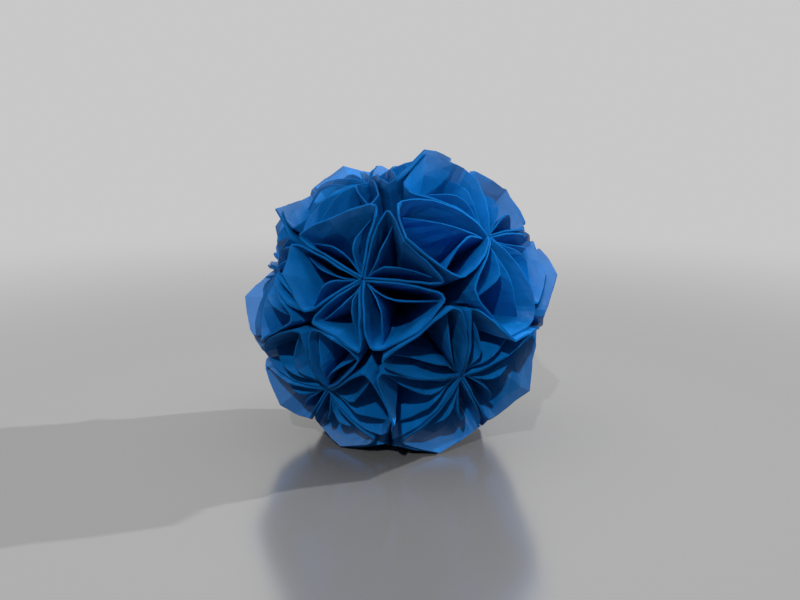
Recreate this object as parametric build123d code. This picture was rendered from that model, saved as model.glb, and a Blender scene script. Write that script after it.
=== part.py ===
from build123d import *
import math
import os

# A paper flower ball: sixty square sheets, each folded into a cone petal, five petals glued into a flower,
# twelve flowers glued into a ball. Every fold line of a petal runs to the middle of its sheet, and the
# middles of all sheets point at the middle of the ball.

# The paper
wall_thickness = 1.2
curl_thickness = 1.0
glue_gap = 0.15

sheet_side = 100.4

# Height of a petal's rim above the middle of the ball, which half the diagonal of its sheet gives
ball_radius = sheet_side * math.sqrt(0.5)
heart_radius = 0.81 * ball_radius
shoulder_radius = 0.94 * ball_radius
curl_start = 0.785 * ball_radius
curl_crest = 0.86 * ball_radius
curl_end = 0.87 * ball_radius
height_change = 0.20
point_change = 0.35

# How a petal is rolled: the weight of its bends, how finely they are creased, and where its flaps lie
roundness = 4.2
corner_care = 0.16
roundness_change = 0.15
steps_to_tip = 7
shoulder_place = 0.62
curl_steps = 2
curl_landing = 5
curl_fullness = 2.4
curl_width = 0.08
curl_width_change = 0.8

# The flowers whose flaps are curled; the flaps of the others are left flat, as they were creased
curled_flowers = ("upper_flower_1", "upper_flower_2", "lower_flower_1")

# The middle of the ball
point_radius = 8.0
pocket_radius = 17.0
pocket_floor = 1.5

# How the flowers lie in the ball
front_turn = -10.0
ring_height = 26.565
lean = 9.0
push = 0.09

# Places where the glued petals have slid: turn, height and reach in degrees, then the slide sideways and upwards
slides = (
    (16.0, 56.0, 22.0, -0.20, 0.00),
    (-51.0, 46.0, 22.0, -0.02, -0.24),
    (-45.0, 4.0, 20.0, 0.20, 0.00),
    (-6.0, -12.0, 18.0, -0.09, 0.05),
    (95.0, 10.0, 24.0, 0.00, 0.12),
    (150.0, 35.0, 24.0, 0.14, -0.06),
    (-120.0, -5.0, 26.0, -0.12, 0.10),
    (185.0, -15.0, 24.0, 0.12, 0.08),
)

# How firmly each flower spreads its petals into its neighbours
spread = {
    "top_flower": 0.4,
    "upper_flower_1": -0.5,
    "upper_flower_2": 0.9,
    "upper_flower_3": -0.3,
    "upper_flower_4": 0.6,
    "upper_flower_5": -0.1,
    "lower_flower_1": -0.7,
    "lower_flower_2": 0.5,
    "lower_flower_3": -0.4,
    "lower_flower_4": 0.7,
    "lower_flower_5": 0.1,
    "bottom_flower": 0.0,
}


def unit(vector):
    return vector * (1.0 / vector.length)


def way(turn, height):
    """Direction from the middle of the ball, turned from the front and raised above level, in degrees."""
    around = math.radians(turn)
    up = math.radians(height)
    return Vector(math.sin(around) * math.cos(up), -math.cos(around) * math.cos(up), math.sin(up))


def above_rest(direction):
    """Nought for the part of the ball it stands on, one from a little higher on upwards."""
    share = (direction.Z + 0.93) / 0.55
    share = min(1.0, max(0.0, share))
    return share * share * (3.0 - 2.0 * share)


def settled(direction):
    """A direction of the even ball, moved as the hand-glued flowers lean and have slid."""
    free = above_rest(direction)
    forward = Vector(0, -1, 0)
    moved = unit(direction + forward.cross(direction) * (math.sin(math.radians(lean)) * free))
    shift = Vector(0, 0, 0)
    for turn, height, reach, sideways, upwards in slides:
        place = way(turn, height)
        right = unit(Vector(0, 0, 1).cross(place))
        up = place.cross(right)
        away = math.degrees(math.acos(max(-1.0, min(1.0, moved.dot(place)))))
        share = math.exp(-0.5 * (away / reach) ** 2)
        shift = shift + (right * sideways + up * upwards) * share
    return unit(moved + shift * free)


def wave(direction):
    """A value between minus one and one that changes smoothly over the ball."""
    return math.sin(3.1 * direction.X + 1.3) * math.cos(2.7 * direction.Z - 2.1 * direction.Y)


def edge_lines(directions, offset, closed=True):
    """Where the folds of a wall lie when its planes are moved sideways by the offset."""
    count = len(directions)
    normals = []
    for index in range(count if closed else count - 1):
        normals.append(unit(directions[index].cross(directions[(index + 1) % count])))
    starts = []
    for index in range(count):
        if closed:
            before = normals[index - 1]
            after = normals[index]
        else:
            before = normals[max(index - 1, 0)]
            after = normals[min(index, count - 2)]
        starts.append((before + after) * (offset / (1.0 + before.dot(after))))
    return starts


def panel(*corners):
    return Face(Wire.make_polygon(list(corners), close=True))


def curve(start, pull, finish, steps, weight):
    """Fold directions along a smooth bend from start to finish, drawn towards pull and closest where it turns."""
    fine = []
    for step in range(10 * steps + 1):
        share = step / (10.0 * steps)
        a = (1.0 - share) ** 2
        b = 2.0 * weight * share * (1.0 - share)
        c = share ** 2
        fine.append(unit(start * a + pull * b + finish * c))
    steps_taken = [after - before for before, after in zip(fine, fine[1:])]
    whole_length = sum(step.length for step in steps_taken)
    turns = [0.0] + [unit(a).cross(unit(b)).length for a, b in zip(steps_taken, steps_taken[1:])]
    whole_turn = sum(turns)
    walked = [0.0]
    for step, turn in zip(steps_taken, turns):
        walked.append(walked[-1] + step.length / whole_length + corner_care * turn / whole_turn)
    directions = [start]
    for step in range(1, steps):
        goal = walked[-1] * step / steps
        index = next(i for i, length in enumerate(walked) if length >= goal)
        part = (goal - walked[index - 1]) / (walked[index] - walked[index - 1])
        directions.append(unit(fine[index - 1] * (1.0 - part) + fine[index] * part))
    directions.append(finish)
    return directions


def rim_heights(stretch, point):
    """Distance of the rim from the middle of the ball, from the heart of the flower to the tip."""
    heights = []
    for step in range(steps_to_tip + 1):
        share = step / steps_to_tip
        if share < shoulder_place:
            rise = math.sin(math.pi / 2.0 * share / shoulder_place)
            height = heart_radius + (shoulder_radius - heart_radius) * rise
        else:
            rise = (share - shoulder_place) / (1.0 - shoulder_place)
            height = shoulder_radius + (ball_radius - shoulder_radius) * rise * point
        heights.append(heart_radius + (height - heart_radius) * stretch)
    return heights


def pocket_bottom(directions):
    """How near the middle of the ball the inside of a cone still has a strip between every two folds."""
    inside = edge_lines(directions, glue_gap + wall_thickness)
    deepest = pocket_radius
    for i in range(len(directions)):
        apart = directions[i] - directions[i - 1]
        start = inside[i] - inside[i - 1]
        deepest = max(deepest, pocket_floor - start.dot(apart) / apart.dot(apart))
    return deepest


def level_point(start, direction, axis, level):
    """Where a fold crosses the plane that lies square to the axis at the given level."""
    return start + direction * ((level - start.dot(axis)) / direction.dot(axis))


def cone_wall(directions, heights, bottom):
    """The double outer wall of a petal: a cone of flat strips with a closed point and an open mouth."""
    count = len(directions)
    outside = edge_lines(directions, glue_gap)
    inside = edge_lines(directions, glue_gap + wall_thickness)
    axis = unit(sum(directions, Vector(0, 0, 0)))
    foot = [level_point(outside[i], directions[i], axis, point_radius) for i in range(count)]
    rim = [outside[i] + directions[i] * heights[i] for i in range(count)]
    lip = [inside[i] + directions[i] * heights[i] for i in range(count)]
    pocket = [level_point(inside[i], directions[i], axis, bottom) for i in range(count)]
    faces = [panel(*reversed(foot)), panel(*pocket)]
    for i in range(count):
        j = (i + 1) % count
        faces.append(panel(foot[i], foot[j], rim[j], rim[i]))
        faces.append(panel(pocket[j], pocket[i], lip[i], lip[j]))
        faces.append(panel(rim[i], rim[j], lip[j]))
        faces.append(panel(rim[i], lip[j], lip[i]))
    return Solid(Shell(faces))


def strip_wall(directions, low, tops, first_shift, last_shift):
    """A single standing wall inside the petal, following a row of fold directions."""
    count = len(directions)
    left = edge_lines(directions, curl_thickness / 2.0, closed=False)
    right = edge_lines(directions, -curl_thickness / 2.0, closed=False)
    shifts = [Vector(0, 0, 0)] * count
    if first_shift is not None:
        shifts[0] = first_shift
    if last_shift is not None:
        shifts[-1] = last_shift
    low_left = [left[i] + shifts[i] + directions[i] * low for i in range(count)]
    low_right = [right[i] + shifts[i] + directions[i] * low for i in range(count)]
    top_left = [left[i] + shifts[i] + directions[i] * tops[i] for i in range(count)]
    top_right = [right[i] + shifts[i] + directions[i] * tops[i] for i in range(count)]
    faces = []
    for i in range(count - 1):
        j = i + 1
        for a, b, c, d in (
            (low_left[i], low_left[j], top_left[j], top_left[i]),
            (low_right[i], low_right[j], top_right[j], top_right[i]),
            (top_left[i], top_left[j], top_right[j], top_right[i]),
            (low_left[i], low_left[j], low_right[j], low_right[i]),
        ):
            faces.append(panel(a, b, c))
            faces.append(panel(a, c, d))
    for i in (0, count - 1):
        faces.append(panel(low_left[i], low_right[i], top_right[i]))
        faces.append(panel(low_left[i], top_right[i], top_left[i]))
    return Solid(Shell(faces))


def petal(centre, tip, right_corner, left_corner, right_bend, left_bend, stretch, point, twist, curled):
    """One folded sheet: the cone, and the two flaps that curl away from its seam like leaves."""
    right_half = curve(centre, right_corner, tip, steps_to_tip, right_bend)
    left_half = curve(centre, left_corner, tip, steps_to_tip, left_bend)
    directions = right_half + left_half[-2:0:-1]
    heights = rim_heights(stretch, point)
    bottom = pocket_bottom(directions)
    body = cone_wall(directions, heights + heights[-2:0:-1], bottom)

    low = bottom - pocket_floor
    in_wall = edge_lines(directions, glue_gap + 0.6 * wall_thickness)
    curls = []
    for half, landing, hand in (
        (right_half, curl_landing, 1.0),
        (left_half, 2 * steps_to_tip - curl_landing, -1.0),
    ):
        width = curl_width * (1.0 + curl_width_change * hand * twist)
        pull = unit(unit(centre + tip) * (1.0 - width) + half[2] * width)
        row = [centre, half[curl_landing]]
        if curled:
            row = curve(centre, pull, half[curl_landing], curl_steps, curl_fullness)
        tops = [curl_start] + [curl_crest] * (len(row) - 2) + [curl_end]
        curls.append(strip_wall(row, low, tops, in_wall[0], in_wall[landing]))
    return body.fuse(*curls)


# Directions of the twelve flowers: one on top, a ring of five above level, a ring of five below, one beneath
flowers = {"top_flower": way(0.0, 90.0)}
for number in range(5):
    flowers[f"upper_flower_{number + 1}"] = way(front_turn + 72.0 * number, ring_height)
for number in range(5):
    flowers[f"lower_flower_{number + 1}"] = way(front_turn + 36.0 + 72.0 * number, -ring_height)
flowers["bottom_flower"] = way(0.0, -90.0)

sheets = {}
for name, centre in flowers.items():
    helper = Vector(0, 1, 0) if abs(centre.Z) > 0.9 else Vector(0, 0, 1)
    side = unit(helper - centre * helper.dot(centre))
    across = centre.cross(side)
    neighbours = []
    for other, direction in flowers.items():
        if 0.2 < centre.dot(direction) < 0.9:
            bearing = math.atan2(direction.dot(across), direction.dot(side))
            neighbours.append((bearing, other))
    neighbours.sort()
    for number in range(5):
        own = neighbours[number][1]
        left = neighbours[(number + 1) % 5][1]
        right = neighbours[number - 1][1]
        even_tip = unit(centre + flowers[own])
        share = 0.5 + push * (spread[name] - spread[own]) * above_rest(even_tip)
        tip = settled(unit(centre * (1.0 - share) + flowers[own] * share))
        left_corner = settled(unit(centre + flowers[own] + flowers[left]))
        right_corner = settled(unit(centre + flowers[own] + flowers[right]))
        free = above_rest(even_tip)
        right_bend = roundness * (1.0 + roundness_change * free * wave(right_corner))
        left_bend = roundness * (1.0 + roundness_change * free * wave(left_corner))
        stretch = 1.0 + height_change * free * math.sin(5.3 * number + 5.0 * spread[name])
        point = 1.0 + point_change * free * math.sin(3.7 * number + 4.0 * spread[name])
        twist = free * math.sin(2.9 * number + 3.0 * spread[name])
        curled = name in curled_flowers
        corners = (settled(centre), tip, right_corner, left_corner)
        sheets[f"{name}_petal_{number + 1}"] = petal(*corners, right_bend, left_bend, stretch, point, twist, curled)

# The ball stands with its lowest tips on the ground, centred over the origin
boxes = [sheet.bounding_box() for sheet in sheets.values()]
middle_x = (min(box.min.X for box in boxes) + max(box.max.X for box in boxes)) / 2.0
middle_y = (min(box.min.Y for box in boxes) + max(box.max.Y for box in boxes)) / 2.0
rest = Vector(-middle_x, -middle_y, -min(box.min.Z for box in boxes))
os.makedirs("parts", exist_ok=True)
for name, sheet in sheets.items():
    export_step(sheet.moved(Location(rest)), f"parts/{name}.step")
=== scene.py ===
import bmesh
import bpy
import math
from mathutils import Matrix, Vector


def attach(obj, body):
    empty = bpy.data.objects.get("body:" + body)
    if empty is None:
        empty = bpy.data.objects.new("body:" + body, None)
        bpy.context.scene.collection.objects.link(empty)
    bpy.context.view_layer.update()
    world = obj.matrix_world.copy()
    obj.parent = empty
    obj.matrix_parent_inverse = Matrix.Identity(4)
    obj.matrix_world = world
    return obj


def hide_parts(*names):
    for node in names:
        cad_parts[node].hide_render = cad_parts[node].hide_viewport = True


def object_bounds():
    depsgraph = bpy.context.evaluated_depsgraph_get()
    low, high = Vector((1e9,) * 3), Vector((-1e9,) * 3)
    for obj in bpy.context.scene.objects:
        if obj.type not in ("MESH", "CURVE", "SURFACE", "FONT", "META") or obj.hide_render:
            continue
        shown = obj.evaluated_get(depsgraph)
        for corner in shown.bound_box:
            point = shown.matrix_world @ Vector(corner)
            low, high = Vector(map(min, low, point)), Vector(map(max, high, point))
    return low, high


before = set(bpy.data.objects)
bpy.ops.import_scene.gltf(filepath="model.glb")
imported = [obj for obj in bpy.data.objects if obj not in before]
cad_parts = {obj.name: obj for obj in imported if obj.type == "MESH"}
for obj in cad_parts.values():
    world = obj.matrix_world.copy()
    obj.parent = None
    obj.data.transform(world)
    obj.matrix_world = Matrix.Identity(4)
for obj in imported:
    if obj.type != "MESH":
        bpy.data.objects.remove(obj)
cad_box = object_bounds()

# Folded petals. Each is one square of dyed blue paper, rolled into a cone with its two flaps curled inside,
# and glued to its neighbours along the seams. The sheet keeps the straight folds of its rolling, and the
# handling leaves it slightly uneven between them, so each small facet catches the light by itself.
ball_middle = Vector((0.00186964, 0.00004732, 0.06135116))
glue_gap = 0.00015
gap_tolerance = 0.2 * glue_gap
same_corner = 0.00001
rim_above = 0.040
least_fold = math.radians(1.0)
rim_thickness = 0.0008
flap_thickness = 0.0006
fold_width = 0.17
corner_reach = 0.045
crease_depths = (0.12, 0.32, 0.48, 0.60, 0.70, 0.79, 0.87, 0.94, 1.0)
flap_side = 2
flap_landing = 5
flap_steps = 7
flap_fullness = 2.4
flap_width = 0.08
flap_width_change = 0.8
flap_start = 0.97
flap_crest = 1.20
flap_end = 1.05
paper_waviness = 0.0022
waviness_size = 130.0
waviness_detail = 2.0
waviness_roughness = 0.7
cut_edge_facing = 0.35
tone_change = 0.09

# How far each change runs on from one sheet to the next, as an angle
corner_turn = 1.7
flap_turn = 2.9
tone_turn = 2.4

paper_blue = (0.0012, 0.114, 0.365)
# The cut edges face outwards and catch the light, so the blue below is painted darker there as shade to tone
# it down
painted_rim_shade_blue = (0.0010, 0.074, 0.245)
fibre_scale = 1500.0
fibre_detail = 3.0
cloud_scale = 70.0
cloud_detail = 4.0
usual_noise = (0.3, 0.7)
cloud_tones = (0.86, 1.14)
fibre_tones = (0.88, 1.12)
paper_roughness = (0.34, 0.46)
cut_roughness = 0.60
paper_gloss = 1.0
cut_gloss = 0.05
grain_strength = 0.22
grain_depth = 0.00008


def node(tree, kind, **settings):
    made = tree.nodes.new(kind)
    for name, value in settings.items():
        setattr(made, name, value)
    return made


def joined(tree, first, second):
    tree.links.new(first, second)


def creased_paper_tree():
    """Takes a folded sheet, leaves it slightly wavy, and marks its cut edges and its own tone."""
    tree = bpy.data.node_groups.new("creased_paper", "GeometryNodeTree")
    kinds = {
        "Sheet": "NodeSocketGeometry",
        "Ball middle": "NodeSocketVector",
        "Waviness": "NodeSocketFloat",
        "Waviness size": "NodeSocketFloat",
        "Sheet tone": "NodeSocketFloat",
        "Paper": "NodeSocketMaterial",
    }
    sockets = {}
    for name, kind in kinds.items():
        sockets[name] = tree.interface.new_socket(name, in_out="INPUT", socket_type=kind).identifier
    tree.interface.new_socket("Sheet", in_out="OUTPUT", socket_type="NodeSocketGeometry")
    given = node(tree, "NodeGroupInput")
    result = node(tree, "NodeGroupOutput")

    # A slow noise that depends on the place alone, so that glued walls bend together
    place = node(tree, "GeometryNodeInputPosition")
    noise = node(tree, "ShaderNodeTexNoise", noise_dimensions="3D")
    noise.inputs["Detail"].default_value = waviness_detail
    noise.inputs["Roughness"].default_value = waviness_roughness
    joined(tree, place.outputs["Position"], noise.inputs["Vector"])
    joined(tree, given.outputs["Waviness size"], noise.inputs["Scale"])
    centred = node(tree, "ShaderNodeVectorMath", operation="SUBTRACT")
    centred.inputs[1].default_value = (0.5, 0.5, 0.5)
    joined(tree, noise.outputs["Color"], centred.inputs[0])
    bend = node(tree, "ShaderNodeVectorMath", operation="SCALE")
    joined(tree, centred.outputs["Vector"], bend.inputs[0])
    joined(tree, given.outputs["Waviness"], bend.inputs["Scale"])
    moved = node(tree, "GeometryNodeSetPosition")
    joined(tree, given.outputs["Sheet"], moved.inputs["Geometry"])
    joined(tree, bend.outputs["Vector"], moved.inputs["Offset"])

    # A face that looks away from the middle of the ball is a cut edge of the sheet
    spoke = node(tree, "ShaderNodeVectorMath", operation="SUBTRACT")
    joined(tree, place.outputs["Position"], spoke.inputs[0])
    joined(tree, given.outputs["Ball middle"], spoke.inputs[1])
    outwards = node(tree, "ShaderNodeVectorMath", operation="NORMALIZE")
    joined(tree, spoke.outputs["Vector"], outwards.inputs[0])
    facing = node(tree, "GeometryNodeInputNormal")
    along = node(tree, "ShaderNodeVectorMath", operation="DOT_PRODUCT")
    joined(tree, outwards.outputs["Vector"], along.inputs[0])
    joined(tree, facing.outputs["Normal"], along.inputs[1])
    cut = node(tree, "ShaderNodeMath", operation="GREATER_THAN")
    cut.inputs[1].default_value = cut_edge_facing
    joined(tree, along.outputs["Value"], cut.inputs[0])
    marked = node(tree, "GeometryNodeStoreNamedAttribute", data_type="FLOAT", domain="FACE")
    marked.inputs["Name"].default_value = "cut_edge"
    joined(tree, moved.outputs["Geometry"], marked.inputs["Geometry"])
    joined(tree, cut.outputs["Value"], marked.inputs["Value"])

    # The tone of this sheet, a little lighter or darker than the next
    toned = node(tree, "GeometryNodeStoreNamedAttribute", data_type="FLOAT", domain="FACE")
    toned.inputs["Name"].default_value = "sheet_tone"
    joined(tree, marked.outputs["Geometry"], toned.inputs["Geometry"])
    joined(tree, given.outputs["Sheet tone"], toned.inputs["Value"])

    flat = node(tree, "GeometryNodeSetShadeSmooth")
    flat.inputs["Shade Smooth"].default_value = False
    joined(tree, toned.outputs["Geometry"], flat.inputs["Geometry"])
    real = node(tree, "GeometryNodeRealizeInstances")
    joined(tree, flat.outputs["Geometry"], real.inputs["Geometry"])
    coloured = node(tree, "GeometryNodeSetMaterial")
    joined(tree, real.outputs["Geometry"], coloured.inputs["Geometry"])
    joined(tree, given.outputs["Paper"], coloured.inputs["Material"])
    joined(tree, coloured.outputs["Geometry"], result.inputs["Sheet"])
    return tree, sockets


def paper_noise(tree, place, scale, detail):
    noise = node(tree, "ShaderNodeTexNoise")
    noise.inputs["Scale"].default_value = scale
    noise.inputs["Detail"].default_value = detail
    joined(tree, place.outputs["Object"], noise.inputs["Vector"])
    return noise.outputs["Fac"]


def between(tree, noise, lowest_and_highest):
    """Spreads the usual range of a noise over the range given."""
    spread = node(tree, "ShaderNodeMapRange")
    for name, value in zip(("From Min", "From Max"), usual_noise):
        spread.inputs[name].default_value = value
    for name, value in zip(("To Min", "To Max"), lowest_and_highest):
        spread.inputs[name].default_value = value
    joined(tree, noise, spread.inputs["Value"])
    return spread.outputs["Result"]


def multiplied(tree, first, second):
    product = node(tree, "ShaderNodeMath", operation="MULTIPLY")
    joined(tree, first, product.inputs[0])
    joined(tree, second, product.inputs[1])
    return product.outputs["Value"]


def blue_paper():
    """Dyed paper, its colour in clouds and fine fibres, more matt along its cut edges, and painted darker
    there as shade, since they face outwards and catch the light.
    """
    material = bpy.data.materials.new("blue_paper")
    material.use_nodes = True
    tree = material.node_tree
    shader = tree.nodes["Principled BSDF"]
    place = node(tree, "ShaderNodeTexCoord")
    fibres = paper_noise(tree, place, fibre_scale, fibre_detail)
    clouds = paper_noise(tree, place, cloud_scale, cloud_detail)
    cut = node(tree, "ShaderNodeAttribute", attribute_name="cut_edge")
    own_tone = node(tree, "ShaderNodeAttribute", attribute_name="sheet_tone")

    uneven = multiplied(tree, between(tree, clouds, cloud_tones), between(tree, fibres, fibre_tones))
    tone = multiplied(tree, uneven, own_tone.outputs["Fac"])
    # Along the cut edges the colour is painted darker, as shade over the light they catch facing outwards
    dye_and_rim_shade = node(tree, "ShaderNodeMix", data_type="RGBA")
    dye_and_rim_shade.inputs["A"].default_value = (*paper_blue, 1.0)
    dye_and_rim_shade.inputs["B"].default_value = (*painted_rim_shade_blue, 1.0)
    joined(tree, cut.outputs["Fac"], dye_and_rim_shade.inputs["Factor"])
    colour = node(tree, "ShaderNodeVectorMath", operation="SCALE")
    joined(tree, dye_and_rim_shade.outputs["Result"], colour.inputs[0])
    joined(tree, tone, colour.inputs["Scale"])
    joined(tree, colour.outputs["Vector"], shader.inputs["Base Color"])

    rough = node(tree, "ShaderNodeMix", data_type="FLOAT")
    rough.inputs["B"].default_value = cut_roughness
    joined(tree, cut.outputs["Fac"], rough.inputs["Factor"])
    joined(tree, between(tree, clouds, paper_roughness), rough.inputs["A"])
    joined(tree, rough.outputs["Result"], shader.inputs["Roughness"])
    gloss = node(tree, "ShaderNodeMix", data_type="FLOAT")
    gloss.inputs["A"].default_value = paper_gloss
    gloss.inputs["B"].default_value = cut_gloss
    joined(tree, cut.outputs["Fac"], gloss.inputs["Factor"])
    joined(tree, gloss.outputs["Result"], shader.inputs["Specular IOR Level"])
    grain = node(tree, "ShaderNodeBump")
    grain.inputs["Strength"].default_value = grain_strength
    grain.inputs["Distance"].default_value = grain_depth
    joined(tree, fibres, grain.inputs["Height"])
    joined(tree, grain.outputs["Normal"], shader.inputs["Normal"])
    return material


def wall_corners(name):
    """From the ball's middle to each corner of a CAD sheet's outer walls, and whether a fold ends there."""
    sheet = bmesh.new()
    sheet.from_mesh(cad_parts[name].data)
    bmesh.ops.remove_doubles(sheet, verts=sheet.verts, dist=same_corner)
    sheet.normal_update()
    walls_at = {}
    for face in sheet.faces:
        depth = face.normal.dot(face.verts[0].co - ball_middle)
        if abs(depth + glue_gap) < gap_tolerance:
            for vert in face.verts:
                if (vert.co - ball_middle).length > rim_above:
                    walls_at.setdefault(vert, []).append(face.normal)
    spokes = [vert.co - ball_middle for vert in walls_at]
    folded = [any(walls[0].angle(wall) > least_fold for wall in walls) for walls in walls_at.values()]
    sheet.free()
    return spokes, folded


def fold_spokes(name):
    """From the ball's middle to the rim along each fold of a sheet, round from the heart of its flower."""
    spokes, folded = wall_corners(name)
    axis = sum(spokes, Vector()).normalized()
    side = axis.orthogonal().normalized()
    across = axis.cross(side)
    angles = [math.atan2(spoke.dot(across), spoke.dot(side)) for spoke in spokes]
    order = sorted(range(len(spokes)), key=lambda index: angles[index])

    # Where a flat wall has a corner that lies lower than both its neighbours, the corner isn't on the rim
    place = 0
    while place < len(order):
        before, here, after = order[place - 1], order[place], order[(place + 1) % len(order)]
        if not folded[here] and spokes[here].length < min(spokes[before].length, spokes[after].length):
            order.pop(place)
            place = max(place - 1, 0)
        else:
            place += 1
    heart = min(range(len(order)), key=lambda index: spokes[order[index]].length)
    return [spokes[index] for index in order[heart:] + order[:heart]]


def rounded(spokes):
    """The same outline with a second fold beside each fold, so that only the heart and the tip stay sharp."""
    count = len(spokes)
    sharp = (0, count // 2)
    row = []
    for index, spoke in enumerate(spokes):
        after = spokes[(index + 1) % count]
        if index in sharp:
            row.append(spoke)
        else:
            row.append(spoke * (1.0 - fold_width) + after * fold_width)
        if (index + 1) % count not in sharp:
            row.append(spoke * fold_width + after * (1.0 - fold_width))
    return row


def moved_aside(spokes, distance, closed):
    """The spokes of a wall that lies the given distance to the inner side of this one."""
    count = len(spokes)
    walls = [spokes[index].cross(spokes[(index + 1) % count]).normalized() for index in range(count)]
    moved = []
    for index, spoke in enumerate(spokes):
        before = walls[index - 1] if closed or index > 0 else walls[0]
        after = walls[index] if closed or index < count - 1 else walls[-2]
        moved.append(spoke + (before + after) * (distance / (1.0 + before.dot(after))))
    return moved


def curled_flap(lip, tip, side, landing, width):
    """The rim of one flap, which swings out from the heart of the flower and lands on the wall again."""
    heart = lip.normalized()
    pull = ((heart + tip).normalized() * (1.0 - width) + side * width).normalized()
    row = []
    for step in range(flap_steps + 1):
        share = step / flap_steps
        near, middle, far = (1.0 - share) ** 2, 2.0 * share * (1.0 - share), share ** 2
        way = (heart * near + pull * (middle * flap_fullness) + landing * far).normalized()
        row.append(way * (lip.length * (flap_start * near + flap_crest * middle + flap_end * far)))
    return moved_aside(row, -flap_thickness / 2.0, closed=False)


def standing_wall(sheet, front, back, closed):
    """Adds paper between two rows of rim points, creased across and running down to the ball's middle."""
    rows = []
    for depth in crease_depths:
        fronts = [sheet.verts.new(ball_middle + spoke * depth) for spoke in front]
        backs = [sheet.verts.new(ball_middle + spoke * depth) for spoke in back]
        rows.append((fronts, backs))
    count = len(front)
    if closed:
        sheet.faces.new(rows[0][0])
        sheet.faces.new(rows[0][1])
    for start in range(count if closed else count - 1):
        end = (start + 1) % count
        for (front_low, back_low), (front_high, back_high) in zip(rows, rows[1:]):
            sheet.faces.new((front_low[start], front_low[end], front_high[end], front_high[start]))
            sheet.faces.new((back_low[end], back_low[start], back_high[start], back_high[end]))
        for fronts, backs in rows[-1:] if closed else (rows[0], rows[-1]):
            sheet.faces.new((fronts[start], fronts[end], backs[end], backs[start]))
    if not closed:
        for (front_low, back_low), (front_high, back_high) in zip(rows, rows[1:]):
            for end in (0, count - 1):
                sheet.faces.new((front_low[end], back_low[end], back_high[end], front_high[end]))


def folded_sheet(name, number):
    """The mesh of one sheet: its cone wall and the two flaps inside it."""
    spokes = fold_spokes(name)
    landings = {hand: spokes[hand * flap_landing].normalized() for hand in (1, -1)}
    sides = {hand: spokes[hand * flap_side].normalized() for hand in (1, -1)}

    # Some sheets keep their corner straight, so that it stands out as a point
    corner = spokes[len(spokes) // 2] * (1.0 + corner_reach * max(0.0, math.sin(corner_turn * number)))
    if all(low < value < high for low, value, high in zip(cad_box[0], ball_middle + corner, cad_box[1])):
        spokes[len(spokes) // 2] = corner
    spokes = rounded(spokes)
    lips = moved_aside(spokes, rim_thickness, closed=True)
    tip = lips[len(lips) // 2].normalized()
    sheet = bmesh.new()
    standing_wall(sheet, spokes, lips, closed=True)
    for hand in (1, -1):
        width = flap_width * (1.0 + flap_width_change * hand * math.sin(flap_turn * number))
        row = curled_flap(lips[0], tip, sides[hand], landings[hand], width)
        standing_wall(sheet, row, moved_aside(row, flap_thickness, closed=False), closed=False)
    bmesh.ops.recalc_face_normals(sheet, faces=sheet.faces)
    mesh = bpy.data.meshes.new(f"paper_{name}")
    sheet.to_mesh(mesh)
    sheet.free()
    return mesh


paper = blue_paper()
crease, sockets = creased_paper_tree()
for number, name in enumerate(sorted(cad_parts)):
    mesh = folded_sheet(name, number)
    folded = bpy.data.objects.new(f"paper_{name}", mesh)
    bpy.context.scene.collection.objects.link(folded)
    handling = folded.modifiers.new("creased_paper", "NODES")
    handling.node_group = crease
    handling[sockets["Ball middle"]] = ball_middle
    handling[sockets["Waviness"]] = paper_waviness
    handling[sockets["Waviness size"]] = waviness_size
    handling[sockets["Sheet tone"]] = 1.0 + tone_change * math.sin(tone_turn * number)
    handling[sockets["Paper"]] = paper
    bpy.context.view_layer.update()
    finished = bpy.data.meshes.new_from_object(folded.evaluated_get(bpy.context.evaluated_depsgraph_get()))
    folded.modifiers.remove(handling)
    folded.data = finished
    bpy.data.meshes.remove(mesh)
    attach(folded, "root")
    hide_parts(name)

# Table. A plain pale grey top with a soft gloss, which the ball stands on and is dimly mirrored in.
# It fades into the pale backdrop, so that no edge shows.
table_grey = (0.170, 0.170, 0.170)
lacquer_white = (1.0, 1.0, 1.0)
lacquer_share = 0.38
lacquer_roughness = 0.19
backdrop_grey = (0.578, 0.578, 0.578)
table_reach = 3.0
fade_start = 0.20
fade_end = 0.66

corners = [(-1, -1), (1, -1), (1, 1), (-1, 1)]
top = bpy.data.meshes.new("table_top")
top.from_pydata([(x * table_reach, y * table_reach, 0.0) for x, y in corners], [], [(0, 1, 2, 3)])
table = bpy.data.objects.new("table_top", top)
bpy.context.scene.collection.objects.link(table)
table_finish = bpy.data.materials.new("table_finish")
table_finish.use_nodes = True
tree = table_finish.node_tree
tree.nodes.remove(tree.nodes["Principled BSDF"])
board = node(tree, "ShaderNodeBsdfDiffuse")
board.inputs["Color"].default_value = (*table_grey, 1.0)
lacquer = node(tree, "ShaderNodeBsdfGlossy")
lacquer.inputs["Color"].default_value = (*lacquer_white, 1.0)
lacquer.inputs["Roughness"].default_value = lacquer_roughness
finish = node(tree, "ShaderNodeMixShader")
finish.inputs["Fac"].default_value = lacquer_share
joined(tree, board.outputs["BSDF"], finish.inputs[1])
joined(tree, lacquer.outputs["BSDF"], finish.inputs[2])
place = node(tree, "ShaderNodeTexCoord")
away = node(tree, "ShaderNodeVectorMath", operation="LENGTH")
joined(tree, place.outputs["Object"], away.inputs[0])
fade = node(tree, "ShaderNodeMapRange", interpolation_type="SMOOTHSTEP")
fade.inputs["From Min"].default_value = fade_start
fade.inputs["From Max"].default_value = fade_end
joined(tree, away.outputs["Value"], fade.inputs["Value"])
backdrop = node(tree, "ShaderNodeEmission")
backdrop.inputs["Color"].default_value = (*backdrop_grey, 1.0)
seen = node(tree, "ShaderNodeMixShader")
joined(tree, fade.outputs["Result"], seen.inputs["Fac"])
joined(tree, finish.outputs["Shader"], seen.inputs[1])
joined(tree, backdrop.outputs["Emission"], seen.inputs[2])
joined(tree, seen.outputs["Shader"], tree.nodes["Material Output"].inputs["Surface"])
top.materials.append(table_finish)

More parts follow.
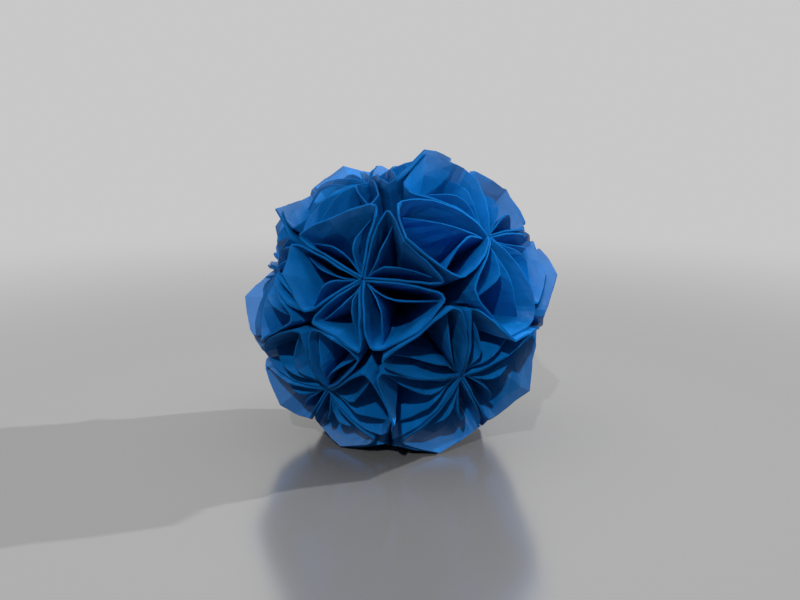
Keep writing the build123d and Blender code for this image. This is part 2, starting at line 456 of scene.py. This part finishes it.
# Light. The room lights the ball faintly, and looks as pale as the backdrop wherever it is seen or mirrored.
# A wide soft lamp hangs overhead. A small far lamp on the right throws the long shadow, and one in front a
# short one. The lamps are kept out of reflections, where they would glare on the table.
room_grey = (0.60, 0.60, 0.60)
room_strength = 0.20
overhead_place = Vector((0.0, 0.0, 0.75))
overhead_size = 1.00
overhead_power = 7.0
far_lamp_width = math.radians(1.2)

# Each far lamp: how many degrees it stands round the ball from the right, how many up, and its strength
far_lamps = {"lamp_right": (22.0, 22.0, 6.0), "lamp_front": (260.0, 39.0, 2.0)}

world = bpy.data.worlds.new("studio")
bpy.context.scene.world = world
world.use_nodes = True
tree = world.node_tree
room = tree.nodes["Background"]
room.inputs["Color"].default_value = (*room_grey, 1.0)
room.inputs["Strength"].default_value = room_strength
backdrop = node(tree, "ShaderNodeBackground")
backdrop.inputs["Color"].default_value = (*backdrop_grey, 1.0)
path = node(tree, "ShaderNodeLightPath")
shown = path.outputs["Is Camera Ray"]
for ray in ("Is Glossy Ray", "Is Transmission Ray"):
    either = node(tree, "ShaderNodeMath", operation="MAXIMUM")
    joined(tree, shown, either.inputs[0])
    joined(tree, path.outputs[ray], either.inputs[1])
    shown = either.outputs["Value"]
choice = node(tree, "ShaderNodeMixShader")
joined(tree, shown, choice.inputs["Fac"])
joined(tree, room.outputs["Background"], choice.inputs[1])
joined(tree, backdrop.outputs["Background"], choice.inputs[2])
joined(tree, choice.outputs["Shader"], tree.nodes["World Output"].inputs["Surface"])


def hung(name, lamp, shine):
    """Hangs a lamp that shines the given way."""
    holder = bpy.data.objects.new(name, lamp)
    holder.rotation_euler = shine.to_track_quat("-Z", "Y").to_euler()
    holder.visible_glossy = False
    bpy.context.scene.collection.objects.link(holder)
    return holder


overhead = bpy.data.lights.new("lamp_overhead", "AREA")
overhead.size = overhead_size
overhead.energy = overhead_power
holder = hung("lamp_overhead", overhead, ball_middle - overhead_place)
holder.location = overhead_place

for name, (around, height, strength) in far_lamps.items():
    lamp = bpy.data.lights.new(name, "SUN")
    lamp.angle = far_lamp_width
    lamp.energy = strength
    around, height = math.radians(around), math.radians(height)
    level = math.cos(height)
    hung(name, lamp, -Vector((level * math.cos(around), level * math.sin(around), math.sin(height))))

# Camera. It looks down on the ball a little, from in front, as the photograph was taken.
# Its distance and its lens give the ball its size in the photograph.
eye_angle = math.radians(12.0)
eye_distance = 0.512
looking_at = Vector((0.0016, 0.0, 0.0626))
lens_length = 50.0
film_width = 36.0
lens = bpy.data.cameras.new("camera")
lens.lens = lens_length
lens.sensor_width = film_width
camera = bpy.data.objects.new("camera", lens)
camera.location = looking_at + Vector((0.0, -math.cos(eye_angle), math.sin(eye_angle))) * eye_distance
camera.rotation_euler = (looking_at - camera.location).to_track_quat("-Z", "Y").to_euler()
bpy.context.scene.collection.objects.link(camera)
bpy.context.scene.camera = camera
bpy.context.scene.view_settings.view_transform = "Standard"
